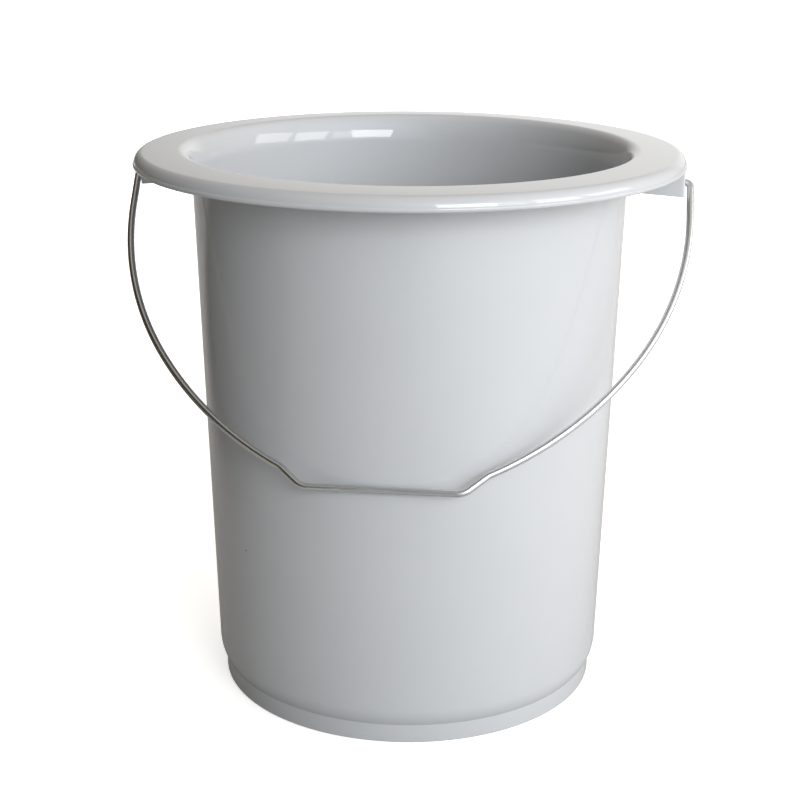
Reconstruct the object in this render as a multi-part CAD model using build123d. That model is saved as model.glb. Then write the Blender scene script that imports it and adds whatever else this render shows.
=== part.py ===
from build123d import *
from math import asin, cos, degrees, radians, sin, sqrt, tan
import os

# A sanitary bucket: a plastic moulding with a wide rolled rim, and a wire bail that swings in its two ears.
# Millimetres, +Z up. The origin is on the bucket's axis, on the ground, and the bail turns about a line along X.

# The moulded sheet
height = 305.6            # ground to the crest of the rim
rim_radius = 149.4        # axis to the outside of the bead on the lip
rim_width = 31.3          # outside of the wall, where the rim rolls out, to the outside of the bead
wall = 2.2                # thickness of the sheet
draft = radians(1.6)      # lean of the wall, wider upwards
roll_in = 14.4            # radius of the rim's inner roll, on its upper face
roll_out = 4.7            # radius of the rim's outer roll, on its upper face
flange_slope = 9.9        # degrees that the rim falls from its crest to the outer roll
lip_turn = 78.0           # degrees below level at which the outer roll ends
lip_skirt = 1.6           # straight stretch from the outer roll to the middle of the bead
lip_bead = 1.45           # radius of the bead round the lip's edge
corner_radius = 19.0      # outside radius between wall and floor
floor_lift = 2.5          # ground to the underside of the floor
foot_height = 10.5        # ground to where the foot ring meets the rounded corner
foot_wall = 2.2           # thickness of the foot ring
foot_edge = 0.8           # rounding of the foot ring's outer edge on the ground

# The ears under the rim
pivot_drop = 17.6         # crest of the rim to the line that the bail turns about
ear_below = 6.5           # that line to the lower edge of the ear's face
ear_rise = radians(4.0)   # slope of the ear's lower edge, up towards the wall
ear_width = 18.0          # across both ribs
ear_rib = 2.2             # thickness of the two ribs
ear_face_wall = 3.0       # thickness of the face that the pin turns in
ear_edge = 1.2            # rounding of the face's upright edges

# The wire bail
wire = 3.8                # diameter
pin_clearance = 0.3       # gap round the pin in its hole
swing_clearance = 0.4     # gap between the arms and the bead as the bail swings over
face_clearance = 0.4      # gap between the ear's face and the bend of the wire
rest_clearance = 0.3      # gap between the grip and the wall that it hangs against
pin_end_length = 9.0      # length of the pin past the ear's face
pin_bend = 2.8            # bend radius between pin and arm, on the wire's middle line
arm_straight = 22.0       # straight start of each arm, from the pivot line
bail_reach = 182.0        # pivot line to the middle of the grip
grip_length = 83.0        # between the bends of the grip
grip_drop = 10.4          # height of the kink between arm and grip
kink_slope = radians(41.0)  # slope of the wire in the kink
arm_slope = radians(27.0)   # slope of the arms where they reach the kink
kink_bend = 10.0          # bend radius of the kinks, on the wire's middle line

# Places that follow from the sizes
half_wall = wall / 2
wall_radius = rim_radius - rim_width
wall_top = height - roll_in + (roll_in - wall) * sin(draft)
pivot_height = height - pivot_drop
arm_offset = rim_radius + swing_clearance + wire / 2
ear_face = arm_offset - pin_bend - face_clearance
ear_bottom = pivot_height - ear_below


def sheet_line():
    """Middle line of the sheet in radius and height, and the arc of its corner."""
    roll_radius = roll_in - half_wall
    lip_radius = roll_out - half_wall
    bend_radius = corner_radius - half_wall
    slope = radians(flange_slope)
    roll_centre = Vector(wall_radius + (roll_in - wall) * cos(draft), height - roll_in)
    flange_start = roll_centre + Vector(sin(slope), cos(slope)) * roll_radius
    lip_reach = lip_radius * (sin(radians(lip_turn)) - sin(slope)) + lip_skirt * cos(radians(lip_turn))
    flange_reach = rim_radius - lip_bead - lip_reach - flange_start.X
    side_start = roll_centre.Y + roll_radius * sin(draft)
    side_end = floor_lift + half_wall + bend_radius * (1 - sin(draft))
    with BuildLine() as line:
        flange = PolarLine(flange_start, flange_reach / cos(slope), -flange_slope)
        lip = JernArc(flange @ 1, flange % 1, lip_radius, flange_slope - lip_turn)
        PolarLine(lip @ 1, lip_skirt, direction=lip % 1)
        roll = JernArc(flange_start, (flange % 0) * -1, roll_radius, 90 + flange_slope - degrees(draft))
        side = PolarLine(roll @ 1, (side_start - side_end) / cos(draft), direction=roll % 1)
        corner = JernArc(side @ 1, side % 1, bend_radius, degrees(draft) - 90)
        Line(corner @ 1, (0, (corner @ 1).Y))
    return line.line, corner


def space_over(line):
    """Area inside the bucket and over its rim, down to the sheet's middle line."""
    floor_middle = line.vertices().sort_by(Axis.X)[0]
    lip_end = line.vertices().sort_by(Axis.X)[-1]
    past_lip = rim_radius + lip_bead
    above = height + wall
    edge = Polyline(
        (lip_end.X, lip_end.Y),
        (past_lip, lip_end.Y),
        (past_lip, above),
        (0, above),
        (0, floor_middle.Y),
    )
    return make_face(line.edges() + edge.edges())


def foot_ring(corner):
    """Section of the ring that the bucket stands on, up to the height of the corner's centre."""
    centre = corner.arc_center
    radius = centre.X + sqrt(corner_radius**2 - (centre.Y - foot_height) ** 2)
    ring = Pos(radius, 0) * Rectangle(foot_wall, centre.Y, align=(Align.MAX, Align.MIN))
    ground_corners = ring.vertices().group_by(Axis.Y)[0]
    return fillet(ground_corners.sort_by(Axis.X)[-1], foot_edge)


def turned(section):
    """Solid of revolution about the bucket's axis, from a section drawn in radius and height."""
    return revolve(Plane.XZ * section, Axis.Z)


def ear():
    """Box under the rim, open below: two ribs from the wall carry the face that the bail's pin turns in."""
    root = wall_radius - wall
    rise = (ear_face - root) * tan(ear_rise)
    outline = make_face(
        Polyline(
            (ear_face, ear_bottom),
            (ear_face, height),
            (root, height),
            (root, ear_bottom + rise),
            close=True,
        )
    )
    block = extrude(Plane.XZ * outline, ear_width / 2, both=True)
    face_edges = block.edges().filter_by(Axis.Z).group_by(Axis.X)[-1]
    block = fillet(face_edges, ear_edge)
    pocket_depth = ear_face - ear_face_wall - root
    pocket = Pos(root, 0, ear_bottom) * Box(
        pocket_depth,
        ear_width - 2 * ear_rib,
        height - ear_bottom,
        align=(Align.MIN, Align.CENTER, Align.MIN),
    )
    hole = extrude(Plane.YZ.offset(ear_face) * Circle(wire / 2 + pin_clearance), -ear_face_wall)
    return block - pocket - Pos(0, 0, pivot_height) * hole


def make_bucket():
    """The moulding: one even sheet turned about the axis, on a foot ring, with an ear at each side."""
    line, corner = sheet_line()
    space = space_over(line)
    lip_end = line.vertices().sort_by(Axis.X)[-1]
    bead = Pos(lip_end.X, lip_end.Y) * Circle(lip_bead)
    section = trace(line, wall) + bead + (foot_ring(corner) - space)
    right_ear = ear() - turned(space)
    return turned(section) + right_ear + mirror(right_ear, Plane.YZ)


def arm_curve(start, heading, end, end_heading):
    """Two arcs that run smoothly from one point and heading to another."""
    chord = end - start
    turn = 1 - heading.dot(end_heading)
    along = chord.dot(heading + end_heading)
    lead = (sqrt(along**2 + 2 * turn * chord.dot(chord)) - along) / (2 * turn)
    meeting = (start + heading * lead + end - end_heading * lead) / 2
    shoulder = TangentArc(start, meeting, tangent=heading)
    return [shoulder, TangentArc(meeting, end, tangent=shoulder % 1)]


def bent(path, corner, radius):
    """The path with a corner and its mirror image bent to a radius."""
    corners = [corner, Vector(-corner.X, corner.Y)]
    return path.fillet_2d(radius, [path.vertices().sort_by_distance(point)[0] for point in corners])


def bail_line():
    """Middle line of the wire in the bail's own plane: x along the pivot line, y away from it."""
    pin_end = Vector(ear_face - ear_face_wall - pin_end_length, 0)
    pin_corner = Vector(arm_offset, 0)
    arm_start = Vector(arm_offset, arm_straight)
    grip_end = Vector(grip_length / 2, bail_reach)
    kink = grip_end + Vector(grip_drop / tan(kink_slope), -grip_drop)
    arm_heading = Vector(-cos(arm_slope), sin(arm_slope))
    half = [
        Line(pin_end, pin_corner),
        Line(pin_corner, arm_start),
        *arm_curve(arm_start, Vector(0, 1), kink, arm_heading),
        Line(kink, grip_end),
    ]
    grip = Line(grip_end, Vector(-grip_end.X, grip_end.Y))
    path = Wire([*half, grip, *[edge.mirror(Plane.YZ) for edge in half]])
    path = bent(path, pin_corner, pin_bend)
    path = bent(path, kink, kink_bend)
    return bent(path, grip_end, kink_bend)


def rest_lean():
    """Angle from straight down at which the grip hangs against the bucket's wall."""
    wall_offset = wall_radius * cos(draft) + (pivot_height - wall_top) * sin(draft)
    return asin((wall_offset + wire / 2 + rest_clearance) / bail_reach) - draft


def make_bail():
    """The bent wire as it hangs, with its grip towards the front."""
    lean = rest_lean()
    plane = Plane((0, 0, pivot_height), x_dir=(1, 0, 0), z_dir=(0, cos(lean), -sin(lean)))
    path = plane * bail_line()
    return sweep(Plane(path @ 0, z_dir=path % 0) * Circle(wire / 2), path)


os.makedirs("parts", exist_ok=True)
export_step(make_bucket(), "parts/bucket.step")
export_step(make_bail(), "parts/bail.step")
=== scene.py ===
from math import acos, asin, atan2, cos, degrees, pi, radians, sin, sqrt, tan

import bmesh
import bpy
from mathutils import Matrix, Vector


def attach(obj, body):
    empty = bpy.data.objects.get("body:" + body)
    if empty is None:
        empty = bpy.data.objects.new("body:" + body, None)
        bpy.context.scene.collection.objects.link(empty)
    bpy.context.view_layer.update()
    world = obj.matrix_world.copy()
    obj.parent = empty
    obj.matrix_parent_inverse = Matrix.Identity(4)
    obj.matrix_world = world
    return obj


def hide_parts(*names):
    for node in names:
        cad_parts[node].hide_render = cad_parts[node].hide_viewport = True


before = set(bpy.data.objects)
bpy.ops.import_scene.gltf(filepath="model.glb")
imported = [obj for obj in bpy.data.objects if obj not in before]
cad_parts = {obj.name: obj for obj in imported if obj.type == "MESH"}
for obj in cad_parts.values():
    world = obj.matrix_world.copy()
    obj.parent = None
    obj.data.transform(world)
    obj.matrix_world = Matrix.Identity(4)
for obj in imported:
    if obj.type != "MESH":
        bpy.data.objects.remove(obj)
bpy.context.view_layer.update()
mm = 0.001

# The bucket
# One injection moulding in light grey polypropylene. Wall, floor and wide rolled rim are an even sheet,
# which stands on a thin foot ring, and two open ears under the rim carry the pins of the bail.
rim_radius = 149.4 * mm      # outside of the bead on the lip
wall_radius = 118.1 * mm     # outside of the wall at the height of wall_top
wall_top = 291.54 * mm
wall = 2.2 * mm              # thickness of the sheet
draft = radians(1.6)         # lean of the wall, wider upwards
throat_start = 289.0 * mm    # height at which the wall begins to widen into the rim
throat_radius = 26.0 * mm    # wide curve from the wall to the rim's inner roll, on its inner face
roll_in = 6.8 * mm           # rim's inner roll, on its upper face
roll_turn = 60.0             # degrees below level at which the inner roll meets the throat
roll_out = 5.5 * mm          # rim's outer roll, on its upper face
flange_slope = 2.3           # degrees that the rim falls outwards
lip_turn = 78.0              # degrees below level at which the outer roll ends
lip_skirt = 1.6 * mm         # straight stretch from the outer roll to the middle of the bead
lip_bead = 1.45 * mm         # radius of the bead round the lip's edge
corner_radius = 19.0 * mm    # outside, between wall and floor
floor_lift = 2.5 * mm        # ground to the underside of the floor
foot_height = 10.5 * mm      # ground to where the foot ring meets the rounded corner
foot_wall = 2.2 * mm
foot_edge = 0.8 * mm         # rounding of the foot ring on the ground
row_height = 12 * mm         # longest step between points of the section
touching = 0.001 * mm        # points closer than this are one
turned_segments = 288        # steps round the axis

half_wall = wall / 2
flange_up = 90 - flange_slope              # direction of the rim's upper face, in degrees
lip_up = 90 - lip_turn                     # direction of the lip's outer face under the roll
wall_in = 180 - degrees(draft)             # direction of the wall's inner face
wall_out = -degrees(draft)                 # direction of the wall's outer face
throat_up = 90 + roll_turn                 # direction of the upper face between throat and roll
throat_wall = Vector((wall_radius + (throat_start - wall_top) * tan(draft), throat_start))
throat_centre = throat_wall + (throat_radius - wall) * Vector((cos(draft), -sin(draft)))
roll_back = Vector((cos(radians(throat_up)), sin(radians(throat_up))))
roll_centre = throat_centre + (throat_radius - roll_in) * roll_back
lip_out = Vector((cos(radians(lip_up)), sin(radians(lip_up))))
skirt_down = Vector((lip_out.y, -lip_out.x))
lip_centre_radius = rim_radius - lip_bead - lip_skirt * skirt_down.x - (roll_out - half_wall) * lip_out.x
roll_step = roll_in - roll_out
flange_run = lip_centre_radius - roll_centre.x - roll_step * cos(radians(flange_up))
flange_fall = flange_run * tan(radians(flange_slope))
lip_centre = Vector((lip_centre_radius, roll_centre.y + roll_step * sin(radians(flange_up)) - flange_fall))
corner_height = floor_lift + corner_radius
corner_wall = wall_radius - (wall_top - corner_height) * tan(draft)
corner_centre = Vector((corner_wall - corner_radius / cos(draft), corner_height))
foot_radius = corner_centre.x + sqrt(corner_radius**2 - (corner_height - foot_height) ** 2)
foot_inner = foot_radius - foot_wall
foot_out = degrees(asin((corner_height - foot_height) / corner_radius))
foot_in = degrees(acos((foot_inner - corner_centre.x) / corner_radius))


def arc(centre, radius, start, end, steps):
    """Points on a circle from one direction to another, in degrees."""
    angles = [radians(start + (end - start) * step / steps) for step in range(steps + 1)]
    return [centre + radius * Vector((cos(angle), sin(angle))) for angle in angles]


def joined(*stretches):
    """One list of points through all the stretches, with extra points where the gap between two is long."""
    points = list(stretches[0])
    for stretch in stretches[1:]:
        start, end = points[-1], stretch[0]
        gap = (end - start).length
        steps = 1 + int(gap / row_height)
        points += [start.lerp(end, step / steps) for step in range(1, steps)]
        points += stretch[1:] if gap < touching else stretch
    return points


skirt_top = lip_centre + (roll_out - half_wall) * lip_out
lip_end = skirt_top + lip_skirt * skirt_down
bead_wrap = degrees(acos(half_wall / lip_bead))
foot_edge_centre = Vector((foot_radius - foot_edge, foot_edge))
section = joined(
    [Vector((0, floor_lift))],
    arc(corner_centre, corner_radius, -90, -foot_in, steps=8),
    [Vector((foot_inner, 0))],
    arc(foot_edge_centre, foot_edge, -90, 0, steps=6),
    arc(corner_centre, corner_radius, -foot_out, wall_out, steps=12),
    arc(throat_centre, throat_radius - wall, wall_in, throat_up, steps=12),
    arc(roll_centre, roll_in - wall, throat_up, flange_up, steps=12),
    arc(lip_centre, roll_out - wall, flange_up, lip_up, steps=12),
    arc(lip_end, lip_bead, lip_up - 180 - bead_wrap, lip_up + bead_wrap, steps=24),
    arc(lip_centre, roll_out, lip_up, flange_up, steps=18),
    arc(roll_centre, roll_in, flange_up, throat_up, steps=16),
    arc(throat_centre, throat_radius, throat_up, wall_in, steps=24),
    arc(corner_centre, corner_radius - wall, wall_out, -90, steps=20),
    [Vector((0, floor_lift + wall))],
)


def add(tree, kind, inputs=None, **settings):
    """Adds a node with its settings, and with its inputs set to values or linked to sockets."""
    node = tree.nodes.new(kind)
    for name, value in settings.items():
        setattr(node, name, value)
    for name, value in (inputs or {}).items():
        if isinstance(value, bpy.types.NodeSocket):
            tree.links.new(value, node.inputs[name])
        else:
            node.inputs[name].default_value = value
    return node


def linear(colour):
    """An sRGB hex colour as linear red, green, blue and alpha."""
    parts = [int(colour[place:place + 2], 16) / 255 for place in (1, 3, 5)]
    return [part / 12.92 if part <= 0.04045 else ((part + 0.055) / 1.055) ** 2.4 for part in parts] + [1.0]


def new_material(name):
    """A material, its node tree and its principled shader."""
    material = bpy.data.materials.new(name)
    material.use_nodes = True
    return material, material.node_tree, material.node_tree.nodes["Principled BSDF"]


# Sockets of a Mix node that mixes colours, and the range that a noise pattern mostly keeps to
mix_a, mix_b, mix_result = 6, 7, 2
noise_low, noise_high = 0.3, 0.7

# Injection-moulded polypropylene from a polished mould: an even cool grey with a clear gloss that shows the
# windows, a sheet that is very slightly wavy, and a few dark specks in the plastic.
moulded_grey = "#C2C4C6"
moulded_grey_deep = "#BEC0C2"
speck_grey = "#626466"
shade_size = 60 * mm
wave_size = 45 * mm
wave_depth = 0.02 * mm
peel_size = 1.8 * mm
peel_depth = 0.0006 * mm
speck_spacing = 42 * mm
speck_size = 0.5 * mm
mould_bright, mould_dull = 0.03, 0.06   # roughness
plastic_ior = 1.49

polypropylene, tree, shader = new_material("moulded polypropylene")
place = add(tree, "ShaderNodeTexCoord").outputs["Object"]
shade = add(tree, "ShaderNodeTexNoise", {"Vector": place, "Scale": 1 / shade_size, "Detail": 3.0})
greys = add(tree, "ShaderNodeMix", {
    0: shade.outputs["Fac"], mix_a: linear(moulded_grey_deep), mix_b: linear(moulded_grey)}, data_type="RGBA")
specks = add(tree, "ShaderNodeTexVoronoi", {"Vector": place, "Scale": 1 / speck_spacing})
speck = add(tree, "ShaderNodeMath", {
    0: specks.outputs["Distance"], 1: speck_size / speck_spacing}, operation="LESS_THAN")
colour = add(tree, "ShaderNodeMix", {
    0: speck.outputs[0], mix_a: greys.outputs[mix_result], mix_b: linear(speck_grey)}, data_type="RGBA")
gloss = add(tree, "ShaderNodeMapRange", {
    "Value": shade.outputs["Fac"], "From Min": noise_low, "From Max": noise_high,
    "To Min": mould_bright, "To Max": mould_dull})
wave = add(tree, "ShaderNodeTexNoise", {"Vector": place, "Scale": 1 / wave_size, "Detail": 1.0})
peel = add(tree, "ShaderNodeTexNoise", {"Vector": place, "Scale": 1 / peel_size, "Detail": 2.0})
wavy = add(tree, "ShaderNodeBump", {"Height": wave.outputs["Fac"], "Distance": wave_depth})
surface = add(tree, "ShaderNodeBump", {
    "Height": peel.outputs["Fac"], "Distance": peel_depth, "Normal": wavy.outputs["Normal"]})
tree.links.new(colour.outputs[mix_result], shader.inputs["Base Color"])
tree.links.new(gloss.outputs["Result"], shader.inputs["Roughness"])
tree.links.new(surface.outputs["Normal"], shader.inputs["Normal"])
shader.inputs["IOR"].default_value = plastic_ior


def new_object(name, mesh):
    """An object at the origin that shows a mesh."""
    piece = bpy.data.objects.new(name, mesh)
    bpy.context.scene.collection.objects.link(piece)
    return piece


def polyline(name, points):
    """A mesh of points joined one to the next by edges."""
    mesh = bpy.data.meshes.new(name)
    mesh.from_pydata(points, [(place, place + 1) for place in range(len(points) - 1)], [])
    return mesh


def evaluated(piece):
    """The plain mesh that an object's modifiers give."""
    shown = piece.evaluated_get(bpy.context.evaluated_depsgraph_get())
    return bpy.data.meshes.new_from_object(shown)


def made_with(tree, name, mesh, values):
    """A plain object that a geometry tree makes of a mesh, with the tree's inputs set by name."""
    source = new_object(name + " source", mesh)
    modifier = source.modifiers.new(tree.name, "NODES")
    modifier.node_group = tree
    for item in tree.interface.items_tree:
        if item.name in values:
            modifier[item.identifier] = values[item.name]
    piece = new_object(name, evaluated(source))
    bpy.data.objects.remove(source)
    return piece


def geometry_tree(name, inputs):
    """A geometry tree with a mesh in and out and further named inputs, its input node and its output node."""
    tree = bpy.data.node_groups.new(name, "GeometryNodeTree")
    tree.interface.new_socket("Geometry", in_out="INPUT", socket_type="NodeSocketGeometry")
    tree.interface.new_socket("Geometry", in_out="OUTPUT", socket_type="NodeSocketGeometry")
    for socket_name, kind in inputs.items():
        tree.interface.new_socket(socket_name, in_out="INPUT", socket_type=kind)
    return tree, add(tree, "NodeGroupInput").outputs, add(tree, "NodeGroupOutput").inputs


def realized(tree, geometry, material, output):
    """Ends a geometry tree with real, smooth faces in one material."""
    real = add(tree, "GeometryNodeRealizeInstances", {"Geometry": geometry})
    smooth = add(tree, "GeometryNodeSetShadeSmooth", {"Geometry": real.outputs["Geometry"]})
    finish = add(tree, "GeometryNodeSetMaterial", {
        "Geometry": smooth.outputs["Geometry"], "Material": material})
    tree.links.new(finish.outputs["Geometry"], output["Geometry"])


# Turns a section, given as points in radius and height, about the upright axis: a grid has one row of
# points for each point of the section, and each row is laid round the axis.
tree, given, output = geometry_tree("turned about the axis", {
    "Segments": "NodeSocketInt", "Material": "NodeSocketMaterial"})
rows = add(tree, "GeometryNodeAttributeDomainSize", {"Geometry": given["Geometry"]}, component="MESH")
row_points = add(tree, "ShaderNodeMath", {0: given["Segments"], 1: 1.0}, operation="ADD").outputs[0]
grid = add(tree, "GeometryNodeMeshGrid", {
    "Vertices X": rows.outputs["Point Count"], "Vertices Y": row_points})
index = add(tree, "GeometryNodeInputIndex").outputs["Index"]
row_share = add(tree, "ShaderNodeMath", {0: index, 1: row_points}, operation="DIVIDE")
row = add(tree, "ShaderNodeMath", {0: row_share.outputs[0]}, operation="FLOOR").outputs[0]
column = add(tree, "ShaderNodeMath", {0: index, 1: row_points}, operation="MODULO").outputs[0]
step_angle = add(tree, "ShaderNodeMath", {0: 2 * pi, 1: given["Segments"]}, operation="DIVIDE").outputs[0]
turn = add(tree, "ShaderNodeMath", {0: column, 1: step_angle}, operation="MULTIPLY").outputs[0]
spot = add(tree, "GeometryNodeSampleIndex", {
    "Geometry": given["Geometry"], "Index": row}, data_type="FLOAT_VECTOR", domain="POINT")
tree.links.new(add(tree, "GeometryNodeInputPosition").outputs["Position"], spot.inputs["Value"])
turned = add(tree, "ShaderNodeVectorRotate", {
    "Vector": spot.outputs["Value"], "Angle": turn}, rotation_type="Z_AXIS")
laid = add(tree, "GeometryNodeSetPosition", {
    "Geometry": grid.outputs["Mesh"], "Position": turned.outputs["Vector"]})
closed = add(tree, "GeometryNodeMergeByDistance", {
    "Geometry": laid.outputs["Geometry"], "Distance": touching})
realized(tree, closed.outputs["Geometry"], given["Material"], output)

section_points = [(point.x, 0, point.y) for point in section]
bucket = made_with(tree, "bucket_moulding", polyline("bucket section", section_points), {
    "Segments": turned_segments, "Material": polypropylene})

# The ears are channels of two ribs and a face. Their upper edges end inside the sheet of the rim and their
# roots inside the wall, where they are joined to it, and the pin's hole goes through the face.
wire = 3.8 * mm                # diameter of the bail's wire
pivot_height = 288.0 * mm      # line that the bail turns about
pin_bend = 2.8 * mm            # bend between pin and arm, on the wire's middle line
pin_clearance = 0.3 * mm       # round the pin in its hole
swing_clearance = 0.4 * mm     # between the arms and the bead as the bail swings over
face_clearance = 0.4 * mm      # between the ear's face and the bend of the wire
ear_below = 6.5 * mm           # pivot line to the lower edge of the face
ear_width = 18.0 * mm
ear_rise = radians(4.0)        # slope of the lower edge, up towards the wall
ear_rib = 2.2 * mm
ear_face_wall = 3.0 * mm
ear_edge = 1.2 * mm            # rounding of the face's upright edges
ear_inner_edge = 0.8 * mm
ear_chamfer = 0.35 * mm        # softening of the lower edges
hole_segments = 40

arm_offset = rim_radius + swing_clearance + wire / 2
ear_face = arm_offset - pin_bend - face_clearance
ear_bottom = pivot_height - ear_below
ear_root = wall_radius - half_wall
pin_hole_radius = wire / 2 + pin_clearance
sheet_middle = joined(
    arc(throat_centre, throat_radius - half_wall, wall_in, throat_up, steps=12),
    arc(roll_centre, roll_in - half_wall, throat_up, flange_up, steps=12),
    arc(lip_centre, roll_out - half_wall, flange_up, lip_up, steps=12),
    [lip_end],
)


def sheet_height(radius):
    """Height of the middle of the rim's sheet at a radius."""
    for inner, outer in zip(sheet_middle, sheet_middle[1:]):
        if radius < outer.x:
            return inner.lerp(outer, (radius - inner.x) / (outer.x - inner.x)).y
    return lip_end.y


def channel(face, half_width, edge):
    """Plan of the channel: along one rib, round the face and back along the other."""
    rib_steps, edge_steps, face_steps = 14, 5, 12
    rib = [Vector((ear_root + (face - edge - ear_root) * step / rib_steps, half_width))
           for step in range(rib_steps)]
    corner = arc(Vector((face - edge, half_width - edge)), edge, 90, 0, edge_steps)
    across = [Vector((face, (half_width - edge) * (1 - 2 * step / face_steps)))
              for step in range(1, face_steps)]
    side = rib + corner
    return side + across + [Vector((point.x, -point.y)) for point in reversed(side)]


def ear(side):
    """Closed mesh of the ear at one side of the bucket, side being 1 or -1."""
    inner_face = ear_face - ear_face_wall
    half = ear_width / 2
    inner_half = half - ear_rib
    layers = [
        (channel(ear_face, half, ear_edge), None),
        (channel(ear_face, half, ear_edge), ear_chamfer),
        (channel(ear_face - ear_chamfer, half - ear_chamfer, ear_edge - ear_chamfer), 0),
        (channel(inner_face + ear_chamfer, inner_half + ear_chamfer, ear_inner_edge + ear_chamfer), 0),
        (channel(inner_face, inner_half, ear_inner_edge), ear_chamfer),
        (channel(inner_face, inner_half, ear_inner_edge), None),
    ]
    shape = bmesh.new()
    rings = []
    for plan, lift in layers:
        ring = []
        for point in plan:
            bottom = ear_bottom + (ear_face - point.x) * tan(ear_rise)
            z = sheet_height(point.length) if lift is None else bottom + lift
            ring.append(shape.verts.new((side * point.x, point.y, z)))
        rings.append(ring)
    count = len(layers)
    for layer in range(count):
        upper, lower = rings[layer], rings[(layer + 1) % count]
        for place in range(len(upper) - 1):
            shape.faces.new((upper[place], upper[place + 1], lower[place + 1], lower[place]))
    for end in (0, -1):
        shape.faces.new([ring[end] for ring in rings])
    bmesh.ops.recalc_face_normals(shape, faces=shape.faces)
    mesh = bpy.data.meshes.new("ear")
    shape.to_mesh(mesh)
    shape.free()
    mesh.materials.append(polypropylene)
    return new_object("ear", mesh)


def pin_cutter(side):
    """Round bar where the pin's hole goes through the face of one ear."""
    shape = bmesh.new()
    bmesh.ops.create_cone(
        shape, cap_ends=True, segments=hole_segments, radius1=pin_hole_radius, radius2=pin_hole_radius,
        depth=2 * ear_face_wall,
        matrix=Matrix.Translation((side * (ear_face - ear_face_wall / 2), 0, pivot_height))
        @ Matrix.Rotation(pi / 2, 4, "Y"))
    mesh = bpy.data.meshes.new("pin hole")
    shape.to_mesh(mesh)
    shape.free()
    return new_object("pin hole", mesh)


def combine(piece, other, operation):
    """Joins another object to a piece, or cuts it out of the piece, and removes it."""
    modifier = piece.modifiers.new("combine", "BOOLEAN")
    modifier.object = other
    modifier.operation = operation
    modifier.solver = "EXACT"
    mesh = evaluated(piece)
    piece.modifiers.remove(modifier)
    piece.data = mesh
    bpy.data.objects.remove(other)


crease_angle = radians(30)
for side in (1, -1):
    drilled = ear(side)
    combine(drilled, pin_cutter(side), "DIFFERENCE")
    combine(bucket, drilled, "UNION")
bucket.data.shade_smooth()
bucket.data.set_sharp_from_angle(angle=crease_angle)
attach(bucket, "bucket")
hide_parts("bucket")

# The bail
# One length of bright drawn and galvanised steel wire, cold bent. Its two pins spring into the ears, its
# arms bow round the bucket, and its straight grip is kinked down between them and hangs against the wall.
pin_length = 12.0 * mm         # behind the ear's face
pin_chamfer = 0.6 * mm         # crop at the end of the pin
arm_straight = 22.0 * mm       # straight start of each arm, from the pivot line
bail_reach = 182.0 * mm        # pivot line to the middle of the grip
grip_length = 83.0 * mm        # between the bends of the grip
grip_drop = 10.4 * mm          # height of the kink between arm and grip
kink_slope = radians(41.0)     # slope of the wire in the kink
arm_slope = radians(27.0)      # slope of the arms where they reach the kink
kink_bend = 10.0 * mm          # bend of the kinks, on the wire's middle line
wall_gap = 0.3 * mm            # between grip and wall
wire_segments = 28             # steps round the wire
bend_points = 14               # points on each bend
arm_steps = 30                 # steps of each of an arm's two arcs

wall_offset = wall_radius * cos(draft) + (pivot_height - wall_top) * sin(draft)
lean = asin((wall_offset + wire / 2 + wall_gap) / bail_reach) - draft


def bow(start, heading, end, steps):
    """Points after the first on the arc from a point and heading to another point, and its last heading."""
    chord = end - start
    side = Vector((-heading.y, heading.x))
    centre = start + side * (chord.length_squared / (2 * chord.dot(side)))
    turn = 2 * atan2(chord.dot(side), chord.dot(heading))
    turns = [Matrix.Rotation(turn * step / steps, 2) for step in range(1, steps + 1)]
    return [centre + part @ (start - centre) for part in turns], turns[-1] @ heading


def bow_meeting(start, heading, end, end_heading):
    """Point where two arcs meet smoothly between two points and headings."""
    chord = end - start
    turn = 1 - heading.dot(end_heading)
    along = chord.dot(heading + end_heading)
    lead = (sqrt(along**2 + 2 * turn * chord.length_squared) - along) / (2 * turn)
    return (start + heading * lead + end - end_heading * lead) / 2


pin_corner = Vector((arm_offset, 0))
pin_end = Vector((ear_face - pin_length, 0))
arm_start = Vector((arm_offset, arm_straight))
grip_end = Vector((grip_length / 2, bail_reach))
kink = grip_end + Vector((grip_drop / tan(kink_slope), -grip_drop))
down = Vector((0, 1))
meeting = bow_meeting(arm_start, down, kink, Vector((-cos(arm_slope), sin(arm_slope))))
shoulder, meeting_heading = bow(arm_start, down, meeting, arm_steps)
lower_arm = bow(meeting, meeting_heading, kink, arm_steps)[0]

# Each point of the path with the radius that the wire is bent to there, on one half and then on the other
half = [(pin_end, 0.0), (pin_end + Vector((pin_chamfer, 0)), 0.0), (pin_corner, pin_bend), (arm_start, 0.0)]
half += [(point, 0.0) for point in shoulder + lower_arm[:-1]]
half += [(kink, kink_bend), (grip_end, kink_bend)]
path = half + [(Vector((-point.x, point.y)), bend) for point, bend in reversed(half)]
bail_path = polyline("bail path", [
    (point.x, -point.y * sin(lean), pivot_height - point.y * cos(lean)) for point, bend in path])
bail_path.attributes.new("bend", "FLOAT", "POINT").data.foreach_set("value", [bend for point, bend in path])

# Bright drawn wire with a thin coat of zinc: soft bands of light and dark along its length, blurred by fine
# draw marks that run with the wire.
zinc_bright = "#E0E3E4"
zinc_dull = "#C6C9CA"
mark_length = 30 * mm
mark_width = 0.5 * mm
wire_bright, wire_dull = 0.2, 0.3       # roughness

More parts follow.
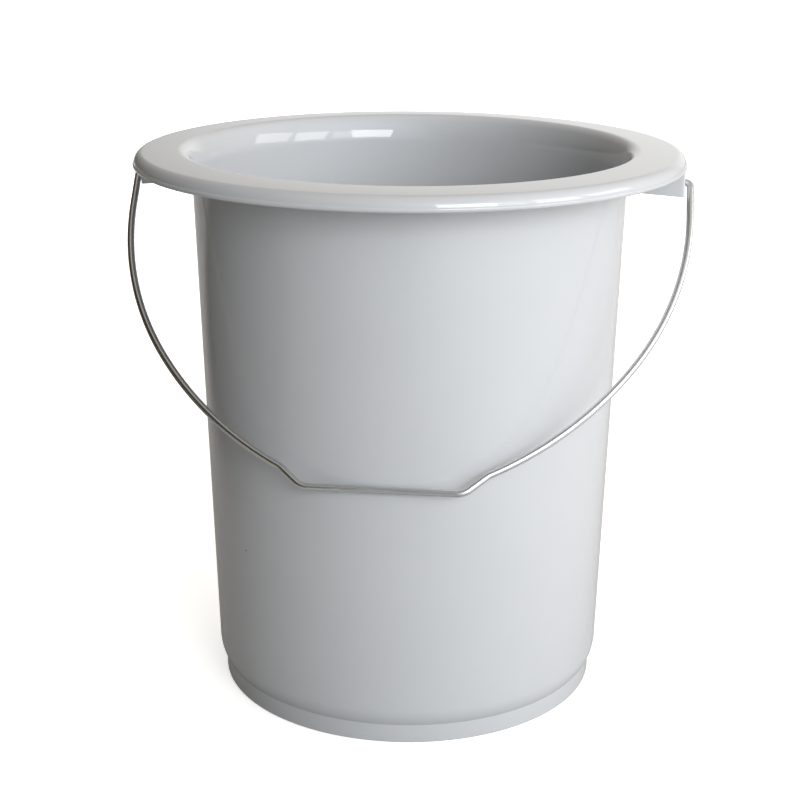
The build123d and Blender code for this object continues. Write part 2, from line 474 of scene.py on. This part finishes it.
galvanised, tree, shader = new_material("galvanised drawn wire")
along = add(tree, "ShaderNodeAttribute", attribute_name="along").outputs["Fac"]
around = add(tree, "ShaderNodeAttribute", attribute_name="around").outputs["Vector"]
along_step = add(tree, "ShaderNodeMath", {0: along, 1: 1 / mark_length}, operation="MULTIPLY").outputs[0]
lengthwise = add(tree, "ShaderNodeCombineXYZ", {"Z": along_step}).outputs["Vector"]
marks_at = add(tree, "ShaderNodeVectorMath", {
    0: around, 1: (1 / mark_width,) * 3, 2: lengthwise}, operation="MULTIPLY_ADD").outputs[0]
marks = add(tree, "ShaderNodeTexNoise", {"Vector": marks_at, "Scale": 1.0, "Detail": 3.0})
zincs = add(tree, "ShaderNodeMix", {
    0: marks.outputs["Fac"], mix_a: linear(zinc_dull), mix_b: linear(zinc_bright)}, data_type="RGBA")
sheen = add(tree, "ShaderNodeMapRange", {
    "Value": marks.outputs["Fac"], "From Min": noise_low, "From Max": noise_high,
    "To Min": wire_bright, "To Max": wire_dull})
tree.links.new(zincs.outputs[mix_result], shader.inputs["Base Color"])
tree.links.new(sheen.outputs["Result"], shader.inputs["Roughness"])
shader.inputs["Metallic"].default_value = 1.0

# Bends a path at the corners that have a bend radius, and runs a round wire along it.
tree, given, output = geometry_tree("wire along a path", {
    "Wire Radius": "NodeSocketFloat", "Bend Points": "NodeSocketInt", "Wire Segments": "NodeSocketInt",
    "Chamfer": "NodeSocketFloat", "Material": "NodeSocketMaterial"})
line = add(tree, "GeometryNodeMeshToCurve", {"Mesh": given["Geometry"]})
bend = add(tree, "GeometryNodeInputNamedAttribute", {"Name": "bend"}, data_type="FLOAT").outputs["Attribute"]
bent = add(tree, "GeometryNodeFilletCurve", {
    "Curve": line.outputs["Curve"], "Radius": bend, "Count": given["Bend Points"]}, mode="POLY")
spline = add(tree, "GeometryNodeSplineParameter").outputs
measured = add(tree, "GeometryNodeStoreNamedAttribute", {
    "Geometry": bent.outputs["Curve"], "Name": "along", "Value": spline["Length"]},
    data_type="FLOAT", domain="POINT")
at_end = add(tree, "GeometryNodeCurveEndpointSelection").outputs["Selection"]
cropped = add(tree, "ShaderNodeMath", {0: given["Wire Radius"], 1: given["Chamfer"]}, operation="SUBTRACT")
cropped_share = add(tree, "ShaderNodeMath", {
    0: cropped.outputs[0], 1: given["Wire Radius"]}, operation="DIVIDE").outputs[0]
full = add(tree, "GeometryNodeSetCurveRadius", {"Curve": measured.outputs["Geometry"], "Radius": 1.0})
pointed = add(tree, "GeometryNodeSetCurveRadius", {
    "Curve": full.outputs["Curve"], "Selection": at_end, "Radius": cropped_share})
round_section = add(tree, "GeometryNodeCurvePrimitiveCircle", {
    "Radius": given["Wire Radius"], "Resolution": given["Wire Segments"]})
faced = add(tree, "GeometryNodeStoreNamedAttribute", {
    "Geometry": round_section.outputs["Curve"], "Name": "around",
    "Value": add(tree, "GeometryNodeInputPosition").outputs["Position"]},
    data_type="FLOAT_VECTOR", domain="POINT")
swept = add(tree, "GeometryNodeCurveToMesh", {
    "Curve": pointed.outputs["Curve"], "Profile Curve": faced.outputs["Geometry"], "Fill Caps": True})
realized(tree, swept.outputs["Mesh"], given["Material"], output)

bail = made_with(tree, "bail_wire", bail_path, {
    "Wire Radius": wire / 2, "Bend Points": bend_points, "Wire Segments": wire_segments,
    "Chamfer": pin_chamfer, "Material": galvanised})
bail.data.set_sharp_from_angle(angle=crease_angle)
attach(bail, "bail")
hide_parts("bail")

# The studio
# A plain pale floor of matt board that the camera alone sees, soft daylight from the right and the front, a
# row of windows there that shows in the glossy plastic, and a screen behind that lights the bucket's back.
floor_reach = 8.0              # half the floor's width, in metres
floor_white = "#FAFAF9"
floor_glow = 0.55              # light that the floor sends to the camera alone
board_size = 25 * mm           # size of the board's fibres
board_smooth, board_rough = 0.7, 0.8


def staged_plane(name, material, depth):
    """A wide level plane of a material, at a depth under the bucket."""
    corners = [(-floor_reach, -floor_reach, -depth), (floor_reach, -floor_reach, -depth),
               (floor_reach, floor_reach, -depth), (-floor_reach, floor_reach, -depth)]
    mesh = bpy.data.meshes.new(name)
    mesh.from_pydata(corners, [], [(0, 1, 2, 3)])
    mesh.materials.append(material)
    plane = new_object(name, mesh)
    return plane


board, tree, shader = new_material("matt white board")
place = add(tree, "ShaderNodeTexCoord").outputs["Object"]
fibre = add(tree, "ShaderNodeTexNoise", {"Vector": place, "Scale": 1 / board_size, "Detail": 4.0})
fibres = add(tree, "ShaderNodeMapRange", {
    "Value": fibre.outputs["Fac"], "To Min": board_smooth, "To Max": board_rough})
tree.links.new(fibres.outputs["Result"], shader.inputs["Roughness"])
shader.inputs["Base Color"].default_value = linear(floor_white)
shader.inputs["Emission Color"].default_value = linear(floor_white)
shader.inputs["Emission Strength"].default_value = floor_glow
floor = staged_plane("floor", board, 0)
floor.visible_diffuse = False
floor.visible_glossy = False
floor.visible_shadow = False

# What the bucket mirrors, and what throws light up at it, is a table just under the floor that the
# camera doesn't see, white at the right and grey in front and at the left. A round dark rug with a soft
# edge lies on it at the left. Lengths here are in metres.
table_depth = 0.5 * mm
rug_centre = (-1.05, 0.05, -table_depth)
rug_radius = 0.75
rug_edge = 0.2                 # width of the soft edge
rug_black = "#1C1B1A"
table_white = "#F5F5F4"
table_grey = "#B6B5B3"
grey_end, white_start = 0.05, 0.45      # along X, with a soft change between them
table_roughness = 0.8

table_top, tree, shader = new_material("painted table with a dark rug")
place = add(tree, "ShaderNodeTexCoord").outputs["Object"]
from_rug = add(tree, "ShaderNodeVectorMath", {0: place, 1: rug_centre}, operation="DISTANCE")
rug = add(tree, "ShaderNodeMapRange", {
    "Value": from_rug.outputs["Value"], "From Min": rug_radius, "From Max": rug_radius - rug_edge},
    interpolation_type="SMOOTHSTEP")
across = add(tree, "ShaderNodeSeparateXYZ", {"Vector": place}).outputs["X"]
whiter = add(tree, "ShaderNodeMapRange", {
    "Value": across, "From Min": grey_end, "From Max": white_start}, interpolation_type="SMOOTHSTEP")
paint = add(tree, "ShaderNodeMix", {
    0: whiter.outputs["Result"], mix_a: linear(table_grey), mix_b: linear(table_white)}, data_type="RGBA")
covered = add(tree, "ShaderNodeMix", {
    0: rug.outputs["Result"], mix_a: paint.outputs[mix_result], mix_b: linear(rug_black)}, data_type="RGBA")
tree.links.new(covered.outputs[mix_result], shader.inputs["Base Color"])
shader.inputs["Roughness"].default_value = table_roughness
table = staged_plane("table", table_top, table_depth)
table.visible_camera = False

camera_side = 6.6              # degrees to the right of straight in front


def towards(side, elevation):
    """Direction to a side, in degrees right of the camera, and an elevation in degrees above level."""
    angle = radians(camera_side + side)
    level = cos(radians(elevation))
    return Vector((level * sin(angle), -level * cos(angle), sin(radians(elevation))))


def with_patch(light, side, elevation, bright, dark, strength, colour):
    """Adds to a light a soft patch of sky, even out to one angle from its middle and gone at another."""
    facing = add(tree, "ShaderNodeVectorMath", {
        0: direction, 1: towards(side, elevation)}, operation="DOT_PRODUCT")
    fade = add(tree, "ShaderNodeMapRange", {
        "Value": facing.outputs["Value"], "From Min": cos(radians(dark)), "From Max": cos(radians(bright)),
        "To Max": strength}, interpolation_type="SMOOTHSTEP")
    patch = add(tree, "ShaderNodeBackground", {"Color": linear(colour), "Strength": fade.outputs["Result"]})
    return add(tree, "ShaderNodeAddShader", {0: light, 1: patch.outputs["Background"]}).outputs["Shader"]


# A dim warm room with three soft patches of sky: a wide one at the right, one in front round the windows
# and a low one behind, which shows in the level rim. Where the camera looks past the floor, it sees plain
# white.
room_colour = "#FFDD88"
room_strength = 0.038
backdrop_white = "#FFFFFF"

world = bpy.data.worlds.new("daylight")
bpy.context.scene.world = world
world.use_nodes = True
tree = world.node_tree
room = tree.nodes["Background"]
room.inputs["Color"].default_value = linear(room_colour)
room.inputs["Strength"].default_value = room_strength
direction = add(tree, "ShaderNodeTexCoord").outputs["Generated"]
light = room.outputs["Background"]
light = with_patch(light, side=105, elevation=42, bright=40, dark=100, strength=0.68, colour="#FFF6F0")
light = with_patch(light, side=30, elevation=13, bright=10, dark=50, strength=1.21, colour="#DEEEFF")
light = with_patch(light, side=172, elevation=0, bright=5, dark=30, strength=0.71, colour="#F4FAFF")
seen = add(tree, "ShaderNodeLightPath").outputs["Is Camera Ray"]
plain = add(tree, "ShaderNodeBackground", {"Color": linear(backdrop_white)}).outputs["Background"]
surroundings = add(tree, "ShaderNodeMixShader", {0: seen, 1: light, 2: plain}).outputs["Shader"]
tree.links.new(surroundings, tree.nodes["World Output"].inputs["Surface"])

pane_white = "#FDFEFF"
pane_distance = 3.0            # metres from the bucket's rim


def window(name, left, right, bottom, top, power):
    """A pane of daylight between two sides and two heights, in degrees from the camera and from level."""
    pane = bpy.data.lights.new(name, "AREA")
    pane.shape = "RECTANGLE"
    pane.size = 2 * pane_distance * tan(radians(right - left) / 2)
    pane.size_y = 2 * pane_distance * tan(radians(top - bottom) / 2)
    pane.energy = power
    pane.color = linear(pane_white)[:3]
    lamp = bpy.data.objects.new(name, pane)
    bpy.context.scene.collection.objects.link(lamp)
    outwards = towards((left + right) / 2, (bottom + top) / 2)
    lamp.location = Vector((0, 0, roll_centre.y)) + pane_distance * outwards
    lamp.rotation_mode = "QUATERNION"
    lamp.rotation_quaternion = outwards.to_track_quat("Z", "Y")
    lamp.visible_camera = False
    return lamp


window("window front", left=11, right=34, bottom=8.6, top=28.8, power=34.8)
window("window beside it", left=35, right=46, bottom=9.3, top=26, power=3.7)
window("window right", left=50.5, right=70, bottom=7.5, top=26.5, power=14.6)
window("window far right", left=75, right=99, bottom=9, top=27.5, power=13.7)

# The screen lights the bucket's back without showing in its gloss
screen = window("screen behind", left=185, right=225, bottom=2, top=14, power=40)
screen.visible_glossy = False

# The camera
# It stands a little to the right, looks down on the bucket, and has the photograph's framing. Its angles are
# in degrees, and its focal length and sensor are in the millimetres that a camera takes them in.
camera_distance = 891.4 * mm   # from the bucket's axis
camera_height = 442.5 * mm
camera_pitch = 17.62           # below level
aim_left = 0.312               # turn away from the bucket's axis
camera_roll = 0.178
focal_length = 73.75
sensor_width = 36.0

lens = bpy.data.cameras.new("camera")
lens.lens = focal_length
lens.sensor_width = sensor_width
camera = bpy.data.objects.new("camera", lens)
bpy.context.scene.collection.objects.link(camera)
angle = radians(camera_side)
eye = Vector((camera_distance * sin(angle), -camera_distance * cos(angle), camera_height))
camera.matrix_world = (
    Matrix.Translation(eye)
    @ Matrix.Rotation(radians(camera_side + aim_left), 4, "Z")
    @ Matrix.Rotation(radians(90 - camera_pitch), 4, "X")
    @ Matrix.Rotation(radians(camera_roll), 4, "Z")
)
bpy.context.scene.camera = camera
bpy.context.scene.view_settings.view_transform = "Standard"
